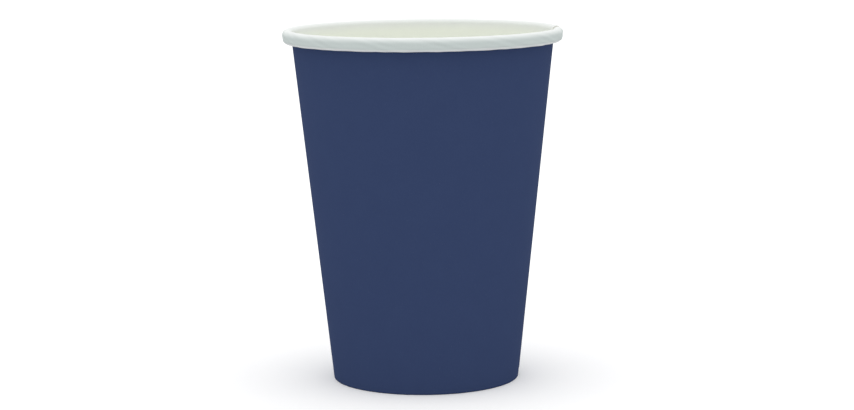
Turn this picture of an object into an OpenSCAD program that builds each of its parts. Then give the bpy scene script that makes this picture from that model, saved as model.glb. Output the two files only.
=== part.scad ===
// Paper cup in two pieces of board: a rolled side wall and a bottom disc sealed into its hem.
// Millimetres, +Z up, origin at the middle of the foot. The side seam is beside +X, turned a little to +Y.

/* [Cup] */
// Height from the foot to the top of the rolled rim
cup_h = 113.5; // [80:0.5:180]
// Diameter across the outside of the rolled rim
rim_d = 90; // [76:0.5:110]
// Diameter across the outside of the wall at the foot
base_d = 60; // [45:0.5:72]

/* [Board] */
// Thickness of the wall's board
wall_t = 0.35; // [0.25:0.01:0.5]
// Thickness of the bottom disc's board
disc_t = 0.3; // [0.2:0.01:0.5]
// Room for the sealed coating on each side of the disc's skirt
seal_gap = 0.02; // [0.01:0.01:0.1]

/* [Rim] */
// Diameter of the roll's upper bend, over the board
roll_d = 3.2; // [2.8:0.1:5]
// Straight stretch of the roll between its two bends
roll_straight = 1.4; // [0.3:0.1:2.5]
// Length of the board's end, tucked up inside the roll
tuck_l = 1; // [0.4:0.1:1.2]
// Depth to which the roll's lower bend is pressed into the wall
roll_bite = 0.05; // [0.03:0.01:0.1]

/* [Foot] */
// Height of the hem, which is the wall's lower edge folded in and up
hem_h = 6.5; // [4:0.1:12]
// Radius of the two outer corners of the fold
fold_r = 0.3; // [0.1:0.05:0.4]
// Distance from the hem's cut edge up to the bend of the disc
hem_drop = 0.3; // [0.1:0.1:2]
// Radius of the bend between the disc and its skirt, over the board
bend_r = 1.2; // [0.8:0.1:2]
// Distance from the fold up to the skirt's cut edge
skirt_rise = 0.3; // [0.1:0.1:1]

/* [Side seam] */
// Width of the lap, halfway up the wall
lap_w = 7; // [4:0.5:12]
// Width over which the outer end of the wall steps up onto the inner end
step_w = 4; // [3:0.5:6]
// Height over which the step is pressed flat, at the fold and under the roll
press_h = 0.5; // [0.4:0.1:2]

/* [Hidden] */
$fn = 128;

// The wall leans out so that its outer face meets the roll's upper bend at a tangent
roll_r = roll_d / 2;
rim_r = rim_d / 2;
base_r = base_d / 2;
upper_bend = [rim_r - roll_r, cup_h - roll_r];
bend_reach = norm(upper_bend - [base_r, 0]);
wall_tilt = atan2(upper_bend[0] - base_r, upper_bend[1]) - asin((roll_r - wall_t) / bend_reach);
wall_l = sqrt(pow(bend_reach, 2) - pow(roll_r - wall_t, 2));

// The lower bend of the roll closes against the wall's outer face
lower_r = roll_r - (wall_t - roll_bite) / 2;
lower_bend = [lower_r - roll_bite, wall_l - roll_straight];

// Layers of the foot, counted inwards from the wall's outer face
pocket = disc_t + 2 * seal_gap;
hem_out = wall_t + pocket;
hem_in = hem_out + wall_t;
disc_top = hem_h + hem_drop + bend_r;

// The lap's edges and the start of the step, as angles around the cup
seam_at = 10;
mid_r = wall_r(cup_h / 2, 0);
lap_a = lap_w / mid_r * 180 / PI;
step_a = step_w / mid_r * 180 / PI;
inner_edge = seam_at - lap_a / 2;
outer_edge = seam_at + lap_a / 2;
step_start = inner_edge - step_a;

// Moving a wall face sideways by this much lifts it by one board over the step
step_shift = wall_t / sin(step_a);
step_lead = asin(step_shift / 2 / mid_r);

// How far a cutting or joining shape passes what it works on
over_a = 3;
over = wall_t / 2;

// Directions out of the wall's outer face and up along it, in the section
outwards = [cos(wall_tilt), -sin(wall_tilt)];
upwards = [sin(wall_tilt), cos(wall_tilt)];

// Radius, at height z, of a face that lies in_by inside the wall's outer face
function wall_r(z, in_by) = base_r - in_by / cos(wall_tilt) + z * tan(wall_tilt);

// Points of an arc around c, from angle a0 to angle a1
function arc(c, r, a0, a1, steps = 5) =
    [for (i = [0:steps]) c + r * [cos(a0 + (a1 - a0) * i / steps), sin(a0 + (a1 - a0) * i / steps)]];

// Section drawn along the wall: x is outwards from its outer face, y is up it from the foot
module along_wall() {
    translate([base_r, 0]) rotate(-wall_tilt) children();
}

// Half of a bent board, above or below the middle of its bend
module bend(r, up) {
    difference() {
        circle(r);
        circle(r - wall_t);
        translate([-2 * r, up ? -2 * r : 0]) square([4 * r, 2 * r]);
    }
}

// Section between two faces of the wall and two heights
module band(in_by, out_by, z0, z1) {
    polygon([
        [wall_r(z0, in_by), z0], [wall_r(z0, out_by), z0],
        [wall_r(z1, out_by), z1], [wall_r(z1, in_by), z1]
    ]);
}

// Section of the fold, which stands flat and holds the disc's skirt, and of the wall up to the roll
module wall_section() {
    polygon(concat(
        arc([wall_r(fold_r, hem_in - fold_r), fold_r], fold_r, 180 - wall_tilt, 270),
        arc([wall_r(fold_r, fold_r), fold_r], fold_r, 270, 360 - wall_tilt),
        [
            [base_r, 0] + wall_l * upwards, [base_r, 0] + wall_l * upwards - wall_t * outwards,
            [wall_r(wall_t, wall_t), wall_t], [wall_r(wall_t, hem_out), wall_t],
            [wall_r(hem_h, hem_out), hem_h], [wall_r(hem_h, hem_in), hem_h]
        ]
    ));
}

// Section of the board over the rim and back up inside the roll
module roll_section() {
    along_wall() {
        translate([roll_r - wall_t, wall_l]) bend(roll_r, true);
        translate([2 * (roll_r - wall_t), lower_bend[1]]) square([wall_t, roll_straight]);
        translate(lower_bend) bend(lower_r, false);
        translate([-roll_bite, lower_bend[1]]) square([wall_t, tuck_l]);
    }
}

// Solid of a section turned around the cup from before the step to the outer cut edge
module lap_turn() {
    rotate_extrude(start = step_start - over_a, angle = outer_edge - step_start + over_a) children();
}

// Solid cone inside a face of the wall, moved sideways so that the face climbs over the step
module stepped_cone(in_by, side) {
    turn = step_start + 90 - side * step_lead;
    translate(side * step_shift * [cos(turn), sin(turn)])
        cylinder(h = cup_h, r1 = wall_r(0, in_by), r2 = wall_r(cup_h, in_by));
}

// Outer end of the wall where it laps over the inner end, up into the roll
module lap_layer() {
    intersection() {
        lap_turn()
            along_wall() difference() {
                translate([-over, press_h]) square([over + wall_t, lower_bend[1] - press_h]);
                translate(lower_bend) circle(lower_r - wall_t / 2);
            }
        stepped_cone(0, 1);
    }
}

// The same lap on the inner face of the hem
module hem_lap_layer() {
    difference() {
        lap_turn() band(hem_in + wall_t, hem_in - over, press_h, hem_h);
        stepped_cone(hem_in, -1);
    }
}

// Thin space left inside, where the outer end climbs past the cut edge of the inner end
module step_space() {
    intersection() {
        rotate_extrude(start = step_start - over_a / 2, angle = step_a + over_a / 2)
            along_wall() translate([-wall_t - over, press_h])
                square([wall_t + 2 * over, wall_l - 2 * press_h]);
        stepped_cone(wall_t, 1);
    }
}

module sidewall() {
    color("#344362")
        difference() {
            union() {
                rotate_extrude() {
                    wall_section();
                    roll_section();
                }
                lap_layer();
                hem_lap_layer();
            }
            step_space();
        }
}

// Section of the disc, from its middle out, round the bend and down the skirt into the pocket
module disc_section() {
    skirt_out = wall_t + seal_gap;
    skirt_foot = wall_t + skirt_rise;
    middle = [wall_r(disc_top - bend_r, skirt_out + bend_r), disc_top - bend_r];
    polygon(concat(
        [[0, disc_top]],
        arc(middle, bend_r, 90, -wall_tilt, 10),
        [[wall_r(skirt_foot, skirt_out), skirt_foot], [wall_r(skirt_foot, skirt_out + disc_t), skirt_foot]],
        arc(middle, bend_r - disc_t, -wall_tilt, 90, 10),
        [[0, disc_top - disc_t]]
    ));
}

module bottom_disc() {
    color("#f2f2ec") rotate_extrude() disc_section();
}

sidewall();
bottom_disc();
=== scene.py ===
"""A two-piece paper cup: the rolled side wall and the bottom disc, as bent sheets of board."""

import math

import bmesh
import bpy
import numpy as np
from mathutils import Matrix, Vector


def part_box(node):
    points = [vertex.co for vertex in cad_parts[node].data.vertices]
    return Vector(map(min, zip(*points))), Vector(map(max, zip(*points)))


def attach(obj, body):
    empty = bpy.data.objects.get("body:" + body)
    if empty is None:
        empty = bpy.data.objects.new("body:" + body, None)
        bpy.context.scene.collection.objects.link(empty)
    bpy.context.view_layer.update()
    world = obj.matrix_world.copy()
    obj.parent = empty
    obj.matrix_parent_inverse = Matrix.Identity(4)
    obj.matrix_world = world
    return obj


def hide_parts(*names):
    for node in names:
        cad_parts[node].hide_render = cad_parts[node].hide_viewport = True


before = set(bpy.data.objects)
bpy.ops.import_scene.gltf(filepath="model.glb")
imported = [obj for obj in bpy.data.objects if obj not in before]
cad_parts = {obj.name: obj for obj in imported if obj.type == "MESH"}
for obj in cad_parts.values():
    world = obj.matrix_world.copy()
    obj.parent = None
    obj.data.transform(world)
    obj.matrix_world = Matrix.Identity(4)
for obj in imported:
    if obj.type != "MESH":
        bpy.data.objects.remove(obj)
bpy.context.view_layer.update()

# All sizes are millimetres until they reach a mesh, the camera or a material.
MM = 0.001

# Cup, with its rim and height taken from the frame
wall_low, wall_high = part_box("sidewall")
RIM_R = (wall_high.x - wall_low.x) / 2 / MM
CUP_H = wall_high.z / MM
BASE_R = 30.0

# Board
WALL_T = 0.35
DISC_T = 0.3
SEAL_GAP = 0.02

# Rim
ROLL_R = 1.6
ROLL_STRAIGHT = 1.4
TUCK_L = 1.0
ROLL_CLEAR = 0.01
CRIMP_DEPTH = 0.13
CRIMP_FADE = 3.0

# Waves that dent the roll: their counts around the cup, shares of the depth, phases and leans
CRIMP_COUNTS = (22, 35, 49)
CRIMP_SHARES = (0.4, 0.35, 0.25)
CRIMP_PHASES = (0.4, 2.1, 4.4)
CRIMP_LEANS = (3.6, 4.2, 3.2)

# Foot
HEM_H = 6.5
CORNER_R = 0.03
HEM_DROP = 0.3
BEND_R = 1.2
SKIRT_RISE = 0.3
PRESS_H = 2.0
KNURL_COUNT = 110
KNURL_DEPTH = 0.09
KNURL_FROM = 0.8
KNURL_TO = 5.0
KNURL_FADE = 0.6
KNURL_SHARP = 0.9
DISC_SAG = 0.25
SAG_UNEVEN = 0.4
SAG_PHASE = 0.7

# Side seam, just behind the right-hand side
SEAM_AT = math.radians(10)
LAP_W = 7.0
STEP_W = 4.0
LAP_CLEAR = 0.01

# How the ink lies on the printed face, as distances along the sheet
INK_PAST_FOLD = 2.6
INK_BELOW_ROLL = 2.6
INK_FADE = 0.05
INK_WANDER = 0.16

# Stretches over which the white board changes, as distances from the roll's start or from its underside.
# Over the roll's face the white turns darker as painted shade; on the roll's lower bend it turns lighter as a
# painted highlight.
RIM_FADE = (-3.0, 1.5)
# Painted shade over the roll's face
ROLL_SHADE_FADE = (2.6, 5.4)
# Painted highlight on the roll's lower bend, for light thrown up from below
UNDER_PAINTED_LIGHT_FADE = (0.2, 1.0)
DEEP_FADE = (-15.0, -60.0)
CREPE_FADE = (1.0, 4.0)

# Limits of the side attribute, which is 0 on the white face and 1 on the other
WHITE_SIDE = 0.03
OTHER_SIDE = 0.97

# Relief of the board's surface
TOOTH_H = 0.030
WAVE_H = 0.05
CREPE_H = 0.045

# Sizes of the noises
FIBRE_SIZE = 0.4
DRIFT_SIZE = 1.2
WALL_CLOUD = 7.0
DISC_CLOUD = 6.0
WAVE_SIZE = 9.0
CREPE_WIDTH = 0.35
CREPE_LENGTH = 3.0
SPECK_SIZE = 0.22

# How much fibres, clouds and specks show in the colour
MOTTLE_LOW = 0.965
MOTTLE_CLOUD = 0.03
MOTTLE_FIBRE = 0.04
INK_FIBRE = 0.7
SPECK_RANGE = (0.74, 0.80)
SPECK_SHARE = 0.12

# Gloss
WALL_ROUGH = 0.52
DISC_ROUGH = 0.75
INK_ROUGHER = 0.38
CUT_ROUGHER = 0.25
FIBRE_ROUGHER = 0.08
COAT_SMOOTHER = 0.2
COAT_WEIGHT = 0.2
COAT_ROUGH = 0.42
WALL_SPECULAR = 0.04
DISC_SPECULAR = 0.2

# Colours of the board and the ink, as linear values
INK_DARK = (0.0375, 0.0587, 0.140)
INK_LIGHT = (0.0485, 0.0742, 0.168)
INSIDE_WHITE = (0.875, 0.905, 0.815)
RIM_WHITE = (0.775, 0.797, 0.785)
# Painted shade: the darker white of the roll's face, below its crest
PAINTED_SHADE_ROLL_WHITE = (0.65, 0.72, 0.705)
# Bare board where the printed face has no ink and in the ink's specks; also a painted highlight on the roll's
# lower bend
BARE_AND_PAINTED_LIGHT_WHITE = (0.935, 0.965, 0.965)
DEEP_WHITE = (0.885, 0.895, 0.86)
RAW_BOARD = (0.82, 0.82, 0.77)
RAW_DARK = (0.62, 0.60, 0.54)

# Light and camera
SKY = 0.91
LAMP = 1.0
LAMP_SPREAD = math.radians(80)
FLOOR_SEEN = 1.0
FLOOR_BOUNCE = 0.54
FLOOR_SIZE = 16000.0
FLOOR_GAP = 0.02
FLOOR_HOLE_R = 28.5
FLOOR_STEPS = 96
CAMERA_AT = (0.65, -762.73, 166.87)
CAMERA_YAW = 0.00024
CAMERA_PITCH = 0.14421
CAMERA_ROLL = -0.01062
CAMERA_LENS = 100.37
CAMERA_SENSOR = 36.0
CAMERA_REACH = 100.0

# Meshes
DISC_COLUMNS = 241
SHARP_ANGLE = math.radians(40)
MERGE_DISTANCE = 1e-6

# The wall leans out so that its outer face meets the roll at a tangent.
bend_run = RIM_R - ROLL_R - BASE_R
bend_rise = CUP_H - ROLL_R
TILT = math.atan2(bend_run, bend_rise) - math.asin((ROLL_R - WALL_T) / math.hypot(bend_run, bend_rise))
WALL_L = math.sqrt(bend_run ** 2 + bend_rise ** 2 - (ROLL_R - WALL_T) ** 2)

# Layers of the foot, counted inwards from the wall's outer face
POCKET = DISC_T + 2 * SEAL_GAP
HEM_OUT = WALL_T + POCKET
DISC_TOP = HEM_H + HEM_DROP + BEND_R

# The seam's angles around the cup
TURN = 2 * math.pi
mid_r = BASE_R + CUP_H / 2 * math.tan(TILT)
STEP_A = STEP_W / mid_r
INNER_EDGE = SEAM_AT - LAP_W / mid_r / 2
OUTER_EDGE = SEAM_AT + LAP_W / mid_r / 2


def smoothstep(x):
    """A smooth rise from 0 to 1 as x goes from 0 to 1."""
    x = np.clip(x, 0, 1)
    return x * x * (3 - 2 * x)


def wall_r(z, in_by):
    """Radius, at height z, of a face that lies in_by inside the wall's outer face."""
    return BASE_R - in_by / math.cos(TILT) + z * math.tan(TILT)


def straight(length, steps):
    """A straight move along a section, as the distance, the angle turned and the number of steps."""
    return length, 0.0, steps


def bend(radius, degrees, steps):
    """A move round a bend of that radius, to the left for a positive angle."""
    angle = math.radians(degrees)
    return radius * abs(angle), angle, steps


def trace(start, heading, moves):
    """Follows the moves in the plane of radius and height.

    A straight move adds points along a line and a bend adds them along an arc, which is the integral of the
    heading. Returns the points, the unit normals to the right of travel and the distance travelled."""
    points, headings, lengths = [np.array([start])], [np.array([heading])], [np.zeros(1)]
    for distance, angle, steps in moves:
        part = np.linspace(0, 1, steps + 1)[1:]
        first = headings[-1][-1]
        turned = first + angle * part
        if angle:
            x = distance / angle * (np.sin(turned) - math.sin(first))
            z = distance / angle * (math.cos(first) - np.cos(turned))
        else:
            x = distance * part * math.cos(first)
            z = distance * part * math.sin(first)
        points.append(points[-1][-1] + np.stack([x, z], axis=1))
        headings.append(turned)
        lengths.append(lengths[-1][-1] + distance * part)
    heading = np.concatenate(headings)
    normals = np.stack([np.sin(heading), -np.cos(heading)], axis=1)
    return np.concatenate(points), normals, np.concatenate(lengths)


# Distances along the wall's section, which starts at the hem's cut edge
tilt_deg = math.degrees(TILT)
into_fold = CORNER_R * math.tan(math.radians(90 + tilt_deg) / 2)
out_of_fold = CORNER_R * math.tan(math.radians(90 - tilt_deg) / 2)
HEM_L = (HEM_H - WALL_T) / math.cos(TILT) - into_fold
FOLD_FLAT = POCKET / math.cos(TILT) - into_fold - out_of_fold
FOLD_L = CORNER_R * math.pi + FOLD_FLAT
FACE_L = WALL_L - WALL_T * (1 - math.sin(TILT)) / math.cos(TILT) - out_of_fold
FOLD_AT = HEM_L + FOLD_L / 2
ROLL_AT = HEM_L + FOLD_L + FACE_L
CREST_L = ROLL_R * math.pi / 2
UNDER_AT = ROLL_AT + math.pi * ROLL_R + ROLL_STRAIGHT
CREASE_AT = UNDER_AT + math.pi * (ROLL_R - (WALL_T + ROLL_CLEAR) / 2)


def wall_section(extra):
    """Section of the wall's white face, from the hem's cut edge down, round the fold, up and over the roll.

    Under the lap the roll closes on a wall that is thicker by extra."""
    return trace((wall_r(HEM_H, HEM_OUT), HEM_H), -math.pi / 2 - TILT, [
        straight(HEM_L - PRESS_H, 9),
        straight(PRESS_H, 4),
        bend(CORNER_R, 90 + tilt_deg, 4),
        straight(FOLD_FLAT, 2),
        bend(CORNER_R, 90 - tilt_deg, 4),
        straight(PRESS_H, 4),
        straight(FACE_L - PRESS_H, 10),
        bend(ROLL_R, -180, 16),
        straight(ROLL_STRAIGHT, 5),
        bend(ROLL_R - (WALL_T + extra + ROLL_CLEAR) / 2, -180, 14),
        straight(TUCK_L, 2),
    ])


def seam_turn():
    """Angles around the sheet, from its inner cut edge, once around and over the lap to its outer cut edge.

    Returns the angles, how far the sheet has stepped up onto itself at each, and how far the outer end
    covers it there, both from 0 to 1."""
    ramp = STEP_A / 3
    spans = [
        (INNER_EDGE, OUTER_EDGE, 16),
        (OUTER_EDGE, OUTER_EDGE + ramp, 6),
        (OUTER_EDGE + ramp, INNER_EDGE + TURN - STEP_A, 568),
        (INNER_EDGE + TURN - STEP_A, INNER_EDGE + TURN, 20),
        (INNER_EDGE + TURN, OUTER_EDGE + TURN, 16),
    ]
    angles = [np.linspace(a, b, n, endpoint=False) for a, b, n in spans]
    angles = np.concatenate(angles + [[OUTER_EDGE + TURN]])
    stepped = smoothstep((angles - (INNER_EDGE + TURN - STEP_A)) / STEP_A)
    covered = 1 - smoothstep((angles - OUTER_EDGE) / ramp)
    return angles, stepped, covered


def crimps(angles, along):
    """Soft dents in the roll, from 0 to 1: three waves around the cup, each moved further around by a few
    millimetres for each millimetre down the roll, so that its dents lie aslant as on a twisted cord."""
    waves = [
        share * np.sin(count * (angles[None, :] - lean * along[:, None] / RIM_R) + phase)
        for count, share, phase, lean in zip(CRIMP_COUNTS, CRIMP_SHARES, CRIMP_PHASES, CRIMP_LEANS)
    ]
    return 0.5 + 0.5 * sum(waves)


def side_wall_faces():
    """The wall's white and printed faces as grids: rows run along the section, columns around the cup.

    Each point is the section's point plus a share of the board's thickness along its normal. The sheet starts
    at its inner cut edge, and after one turn it climbs by one board onto itself. At the fold both layers of the
    lap are pressed to half their thickness, so that the foot stays flat. The roll has soft dents, and the
    hem's printed face has the ribs of the roller that pressed it."""
    plain, plain_n, along = wall_section(0)
    lapped, lapped_n, _ = wall_section(WALL_T)
    angles, stepped, covered = seam_turn()
    share = np.maximum(stepped, covered)[None, :, None]
    point = plain[:, None] * (1 - share) + lapped[:, None] * share
    normal = plain_n[:, None] * (1 - share) + lapped_n[:, None] * share
    normal /= np.linalg.norm(normal, axis=2, keepdims=True)

    on_roll = smoothstep((along - ROLL_AT - CREST_L / 2) / CREST_L)
    on_roll = on_roll * smoothstep((CREASE_AT - along) / CRIMP_FADE)
    dents = CRIMP_DEPTH * on_roll[:, None] * crimps(angles, along - ROLL_AT)
    point = point + normal * dents[..., None]

    raised = smoothstep((np.abs(along - FOLD_AT) - FOLD_L / 2) / PRESS_H)[:, None]
    white_by = WALL_T * stepped * (1 + raised) / 2
    printed_by = WALL_T * (1 + raised * stepped - covered * (1 - raised) / 2)
    knurled = smoothstep((along - KNURL_FROM) / KNURL_FADE) * smoothstep((KNURL_TO - along) / KNURL_FADE)
    ribs = smoothstep(0.5 + KNURL_SHARP * np.cos(KNURL_COUNT * angles))
    printed_by = printed_by - KNURL_DEPTH * knurled[:, None] * ribs[None, :] - LAP_CLEAR * covered
    white, printed = (on_turn(point + normal * by[..., None], angles) for by in (white_by, printed_by))
    return white, printed, along, angles * RIM_R


def on_turn(section, angles):
    """Turns a grid of radius and height to the angle of each column around the cup's axis."""
    r, z = section[..., 0], section[..., 1]
    return np.stack([r * np.cos(angles), r * np.sin(angles), z], axis=2)


def disc_faces():
    """The disc's upper and under faces as grids: from its middle out, round the bend and down the skirt.

    It sags towards its middle by a smooth step of the radius, a little unevenly around."""
    skirt_r = WALL_T + SEAL_GAP
    bend_z = DISC_TOP - BEND_R
    flat_l = wall_r(bend_z, skirt_r + BEND_R)
    skirt_l = (bend_z - BEND_R * math.sin(TILT) - WALL_T - SKIRT_RISE) / math.cos(TILT)
    section, normal, along = trace((0.0, DISC_TOP), 0.0, [
        straight(flat_l, 14),
        bend(BEND_R, -90 - tilt_deg, 12),
        straight(skirt_l, 8),
    ])
    angles = np.linspace(0, TURN, DISC_COLUMNS)
    out = np.clip(along / flat_l, 0, 1)[:, None]
    sag = DISC_SAG * smoothstep(1 - out) * (1 + SAG_UNEVEN * out * np.cos(2 * angles + SAG_PHASE))
    point = np.repeat(section[:, None], len(angles), axis=1)
    point[..., 1] -= sag
    under = point + DISC_T * normal[:, None]
    return on_turn(point, angles), on_turn(under, angles), along, angles * BASE_R


def sheet_mesh(name, white, printed, along, around, closed):
    """A sheet as one closed mesh from the grids of its two faces, joined along its cut edges.

    A closed sheet is a full turn that starts at a pole, so its ends and its pole are merged instead. The
    point attributes are the distances along the section and around the cup in millimetres, and the side,
    which is 0 on the white face and 1 on the other."""
    rows, columns = white.shape[:2]
    index = np.arange(rows * columns).reshape(rows, columns)
    first, second = index, index + rows * columns

    def quads(a, b, c, d):
        return np.stack([a.ravel(), b.ravel(), c.ravel(), d.ravel()], axis=1)

    faces = [
        quads(second[:-1, :-1], second[:-1, 1:], second[1:, 1:], second[1:, :-1]),
        quads(first[:-1, :-1], first[1:, :-1], first[1:, 1:], first[:-1, 1:]),
        quads(second[-1, :-1], second[-1, 1:], first[-1, 1:], first[-1, :-1]),
    ]
    if not closed:
        faces += [
            quads(second[0, 1:], second[0, :-1], first[0, :-1], first[0, 1:]),
            quads(second[:-1, 0], second[1:, 0], first[1:, 0], first[:-1, 0]),
            quads(second[1:, -1], second[:-1, -1], first[:-1, -1], first[1:, -1]),
        ]
    points = np.concatenate([white.reshape(-1, 3), printed.reshape(-1, 3)]) * MM
    mesh = bpy.data.meshes.new(name)
    mesh.from_pydata(points, [], np.concatenate(faces))
    carried = {
        "along": np.tile(np.repeat(along, columns), 2),
        "around": np.tile(around, 2 * rows),
        "side": np.repeat([0.0, 1.0], rows * columns),
    }
    for attribute, values in carried.items():
        layer = mesh.attributes.new(attribute, "FLOAT", "POINT")
        layer.data.foreach_set("value", values.astype(np.float32))
    if closed:
        merge_doubles(mesh)
    mesh.validate()
    mesh.shade_smooth()
    mesh.set_sharp_from_angle(angle=SHARP_ANGLE)
    piece = bpy.data.objects.new(name, mesh)
    bpy.context.scene.collection.objects.link(piece)
    return piece


def merge_doubles(mesh):
    """Merges the points of a mesh that lie on each other."""
    work = bmesh.new()
    work.from_mesh(mesh)
    bmesh.ops.remove_doubles(work, verts=work.verts, dist=MERGE_DISTANCE)
    bmesh.ops.recalc_face_normals(work, faces=work.faces)
    work.to_mesh(mesh)
    work.free()


class Value:
    """A number that varies over a surface: an output socket whose operators add Math nodes."""

    def __init__(self, graph, socket):
        self.graph, self.socket = graph, socket

    def math(self, operation, *numbers):
        return self.graph.add("ShaderNodeMath", {"operation": operation}, dict(enumerate(numbers)))

    def __add__(self, other):
        return self.math("ADD", self, other)

    def __radd__(self, other):
        return self.math("ADD", other, self)

    def __sub__(self, other):
        return self.math("SUBTRACT", self, other)

    def __rsub__(self, other):
        return self.math("SUBTRACT", other, self)

    def __mul__(self, other):
        return self.math("MULTIPLY", self, other)

    def __rmul__(self, other):
        return self.math("MULTIPLY", other, self)

    def __gt__(self, other):
        return self.math("GREATER_THAN", self, other)

    def __lt__(self, other):
        return self.math("LESS_THAN", self, other)


class Graph:
    """The node tree of a material or of the world."""

    def __init__(self, owner):
        owner.use_nodes = True
        self.tree = owner.node_tree
        self.tree.nodes.clear()

    def add(self, kind, settings=None, inputs=None, output=0):
        """Adds a node of that kind: first its settings, then a value or a link for each input it names."""
        node = self.tree.nodes.new(kind)
        for name, setting in (settings or {}).items():
            setattr(node, name, setting)
        for name, given in (inputs or {}).items():
            if isinstance(given, Value):
                self.tree.links.new(given.socket, node.inputs[name])
            elif isinstance(given, tuple) and len(given) == 3 and node.inputs[name].type == "RGBA":
                node.inputs[name].default_value = (*given, 1.0)
            else:
                node.inputs[name].default_value = given
        return Value(self, node.outputs[output]) if node.outputs else None

    def attribute(self, name):
        """A number that the mesh carries at each of its points."""
        return self.add("ShaderNodeAttribute", {"attribute_name": name}, output="Fac")

    def noise(self, size, detail=2.0, roughness=0.5, stretch=(1.0, 1.0, 1.0)):
        """Noise from 0 to 1 with features of about that size in millimetres, fixed to the piece."""
        place = self.add("ShaderNodeTexCoord", output="Object")
        place = self.add("ShaderNodeMapping", None, {"Vector": place, "Scale": stretch})
        return self.add("ShaderNodeTexNoise", None, {
            "Vector": place, "Scale": 1 / (size * MM), "Detail": detail, "Roughness": roughness,
        })

    def sheet_noise(self, width, length, detail=2.0):
        """Noise from 0 to 1 with features that wide around the cup and that long along the sheet."""
        place = self.add("ShaderNodeCombineXYZ", None, {
            "X": self.attribute("around") * (1 / width), "Y": self.attribute("along") * (1 / length),
        })
        return self.add("ShaderNodeTexNoise", None, {"Vector": place, "Scale": 1.0, "Detail": detail})

    def fibres(self, stretch):
        """Fine fibres of the board, as noise from 0 to 1."""
        return self.noise(FIBRE_SIZE, detail=5.0, roughness=0.65, stretch=stretch)

    def rise(self, value, low, high):
        """A smooth rise from 0 to 1 as the value goes from low to high."""
        return self.add("ShaderNodeMapRange", {"interpolation_type": "SMOOTHSTEP"}, {
            "Value": value, "From Min": low, "From Max": high,
        })

    def blend(self, factor, first, second):
        """A mix of two colours."""
        return self.add("ShaderNodeMix", {"data_type": "RGBA"}, {0: factor, 6: first, 7: second}, output=2)

    def fade(self, along, start, stretch):
        """A smooth rise from 0 to 1 over a stretch of the sheet, given as two distances from its start."""
        return self.rise(along, start + stretch[0], start + stretch[1])

    def mottle(self, colour, cloud, fibres):
        """A colour scaled by a number near 1 that varies with the clouds and fibres of the board."""
        amount = MOTTLE_LOW + cloud * MOTTLE_CLOUD + fibres * MOTTLE_FIBRE
        return self.add("ShaderNodeVectorMath", {"operation": "SCALE"}, {0: colour, "Scale": amount})


def paper_tooth(graph, fibres, creping=0.0):
    """Bump of calendered board, as heights in millimetres: fibres, slow waves of the sheet, and creping,
    which is how far the board has creased into fine lines across a tight bend."""
    waves = graph.noise(WAVE_SIZE, detail=1.0)
    lines = graph.sheet_noise(CREPE_WIDTH, CREPE_LENGTH, detail=3.0)
    height = fibres * TOOTH_H + waves * WAVE_H + lines * (CREPE_H * creping)
    return graph.add("ShaderNodeBump", None, {"Strength": 1.0, "Distance": MM, "Height": height})


def wall_board():
    """Board printed on one face: flat ink outside, a satin coating inside, raw fibres at the cut edges.

    The roll's face is painted darker as shade, and its lower bend is painted lighter as a highlight of light
    from below.
    """
    material = bpy.data.materials.new("printed_board")
    graph = Graph(material)
    along, side = graph.attribute("along"), graph.attribute("side")
    drift = graph.noise(DRIFT_SIZE, detail=3.0)
    ink_low, ink_high = FOLD_AT - INK_PAST_FOLD, ROLL_AT - INK_BELOW_ROLL
    edge = along + (drift - 0.5) * INK_WANDER
    printed = (side > OTHER_SIDE) * graph.rise(edge, ink_low - INK_FADE, ink_low + INK_FADE)
    printed = printed * (1 - graph.rise(edge, ink_high - INK_FADE, ink_high + INK_FADE))
    cut = (side > WHITE_SIDE) * (side < OTHER_SIDE)

    cloud = graph.noise(WALL_CLOUD, detail=3.0)
    fibres = graph.fibres(stretch=(1.0, 1.0, 0.5))
    inside = graph.blend(graph.fade(along, ROLL_AT, DEEP_FADE), INSIDE_WHITE, DEEP_WHITE)
    white = graph.blend(graph.fade(along, ROLL_AT, RIM_FADE), inside, RIM_WHITE)
    # Painted shade: the roll's face gets a darker white
    white = graph.blend(graph.fade(along, ROLL_AT, ROLL_SHADE_FADE), white, PAINTED_SHADE_ROLL_WHITE)
    # Painted highlight: the roll's lower bend gets a lighter white, for light thrown up from below
    white = graph.blend(graph.fade(along, UNDER_AT, UNDER_PAINTED_LIGHT_FADE), white, BARE_AND_PAINTED_LIGHT_WHITE)
    white = graph.blend(side > OTHER_SIDE, white, BARE_AND_PAINTED_LIGHT_WHITE)
    board = graph.blend(cut, graph.mottle(white, cloud, fibres), graph.blend(fibres, RAW_DARK, RAW_BOARD))
    ink = graph.blend(fibres * INK_FIBRE + cloud * (1 - INK_FIBRE), INK_DARK, INK_LIGHT)
    specks = graph.rise(graph.noise(SPECK_SIZE), *SPECK_RANGE) * SPECK_SHARE
    colour = graph.blend(printed, board, graph.blend(specks, ink, BARE_AND_PAINTED_LIGHT_WHITE))

    shader = graph.add("ShaderNodeBsdfPrincipled", None, {
        "Base Color": colour,
        "Roughness": WALL_ROUGH + printed * INK_ROUGHER + cut * CUT_ROUGHER + fibres * FIBRE_ROUGHER,
        "Coat Weight": (1 - printed) * (1 - cut) * COAT_WEIGHT,
        "Coat Roughness": COAT_ROUGH,
        "Specular IOR Level": WALL_SPECULAR,
        "Normal": paper_tooth(graph, fibres, creping=graph.fade(along, ROLL_AT, CREPE_FADE)),
    })
    graph.add("ShaderNodeOutputMaterial", None, {"Surface": shader})
    return material


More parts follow.
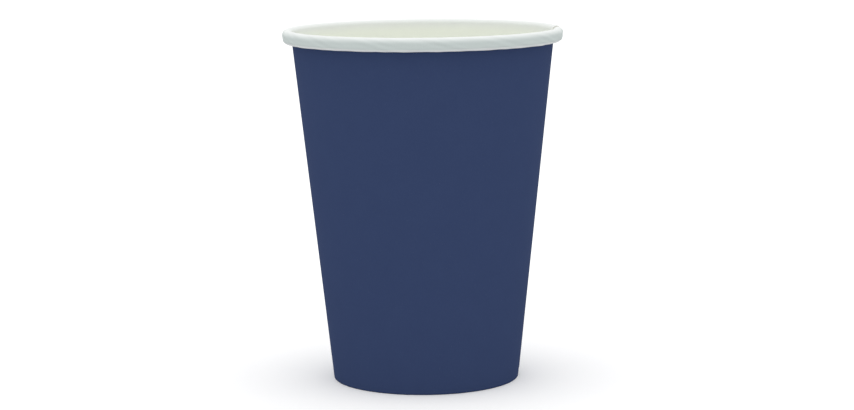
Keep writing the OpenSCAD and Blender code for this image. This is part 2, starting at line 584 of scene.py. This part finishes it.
def disc_board():
    """White board of the disc: coated on top, plain underneath and at its cut edge."""
    material = bpy.data.materials.new("white_board")
    graph = Graph(material)
    cloud = graph.noise(DISC_CLOUD, detail=3.0)
    fibres = graph.fibres(stretch=(1.0, 0.5, 1.0))
    top = graph.attribute("side") < WHITE_SIDE
    shader = graph.add("ShaderNodeBsdfPrincipled", None, {
        "Base Color": graph.mottle(graph.blend(top, RAW_BOARD, DEEP_WHITE), cloud, fibres),
        "Roughness": DISC_ROUGH - top * COAT_SMOOTHER + fibres * FIBRE_ROUGHER,
        "Coat Weight": top * COAT_WEIGHT,
        "Coat Roughness": COAT_ROUGH,
        "Specular IOR Level": DISC_SPECULAR,
        "Normal": paper_tooth(graph, fibres),
    })
    graph.add("ShaderNodeOutputMaterial", None, {"Surface": shader})
    return material


def shows_backdrop(graph):
    """1 for rays that show what is behind the cup: straight from the camera or through a clear surface."""
    straight_on = graph.add("ShaderNodeLightPath", output="Is Camera Ray")
    through = graph.add("ShaderNodeLightPath", output="Is Transmission Ray")
    return straight_on.math("MAXIMUM", straight_on, through)


def lay_floor():
    """A plain pale floor that keeps the cup's shadow and gives less light back than it shows.

    It is clear from below, and a flat ring with its hole hidden under the cup, so that the foot shows there
    and light reaches into it. A point is its radius turned to its angle."""
    angles = np.linspace(0, TURN, FLOOR_STEPS, endpoint=False)
    radii = np.array([[FLOOR_HOLE_R], [FLOOR_SIZE / 2]])
    level = np.full((len(radii), FLOOR_STEPS), -FLOOR_GAP)
    points = np.stack([radii * np.cos(angles), radii * np.sin(angles), level], axis=2)
    inner = np.arange(FLOOR_STEPS)
    ahead = np.roll(inner, -1)
    quads = np.stack([inner, inner + FLOOR_STEPS, ahead + FLOOR_STEPS, ahead], axis=1)
    mesh = bpy.data.meshes.new("floor")
    mesh.from_pydata(points.reshape(-1, 3) * MM, [], quads)
    floor = bpy.data.objects.new("floor", mesh)
    bpy.context.scene.collection.objects.link(floor)
    material = bpy.data.materials.new("floor")
    graph = Graph(material)
    colour = graph.blend(shows_backdrop(graph), (FLOOR_BOUNCE,) * 3, (FLOOR_SEEN,) * 3)
    shader = graph.add("ShaderNodeBsdfDiffuse", None, {"Color": colour})
    below = graph.add("ShaderNodeNewGeometry", output="Backfacing")
    clear = graph.add("ShaderNodeBsdfTransparent")
    shader = graph.add("ShaderNodeMixShader", None, {0: below, 1: shader, 2: clear})
    graph.add("ShaderNodeOutputMaterial", None, {"Surface": shader})
    mesh.materials.append(material)


def light():
    """Even light from all around, and one very soft lamp from straight above."""
    world = bpy.data.worlds.new("studio")
    bpy.context.scene.world = world
    graph = Graph(world)
    strength = graph.blend(shows_backdrop(graph), (SKY,) * 3, (1.0,) * 3)
    background = graph.add("ShaderNodeBackground", None, {"Color": strength})
    graph.add("ShaderNodeOutputWorld", None, {"Surface": background})
    lamp = bpy.data.lights.new("overhead", "SUN")
    lamp.energy = LAMP
    lamp.angle = LAMP_SPREAD
    bpy.context.scene.collection.objects.link(bpy.data.objects.new("overhead", lamp))


def aim_camera():
    """A camera in front of the cup and a little above its rim, looking slightly down."""
    turn = Matrix.Rotation(-CAMERA_YAW, 3, "Z") @ Matrix.Rotation(math.pi / 2 - CAMERA_PITCH, 3, "X")
    camera = bpy.data.cameras.new("camera")
    camera.lens = CAMERA_LENS
    camera.sensor_width = CAMERA_SENSOR
    camera.clip_end = CAMERA_REACH
    holder = bpy.data.objects.new("camera", camera)
    holder.matrix_world = (
        Matrix.Translation(Vector(CAMERA_AT) * MM) @ (turn @ Matrix.Rotation(CAMERA_ROLL, 3, "Z")).to_4x4()
    )
    bpy.context.scene.collection.objects.link(holder)
    bpy.context.scene.camera = holder


def build():
    """Both pieces of the cup, in place of the plain solids of their nodes."""
    wall = sheet_mesh("side_wall", *side_wall_faces(), closed=False)
    wall.data.materials.append(wall_board())
    disc = sheet_mesh("cup_bottom", *disc_faces(), closed=True)
    disc.data.materials.append(disc_board())
    for piece, node, slot in ((wall, "sidewall", "printed_board"), (disc, "bottom_disc", "white_board")):
        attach(piece, "root")
        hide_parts(node)


build()
lay_floor()
light()
aim_camera()
bpy.context.scene.view_settings.view_transform = "Standard"
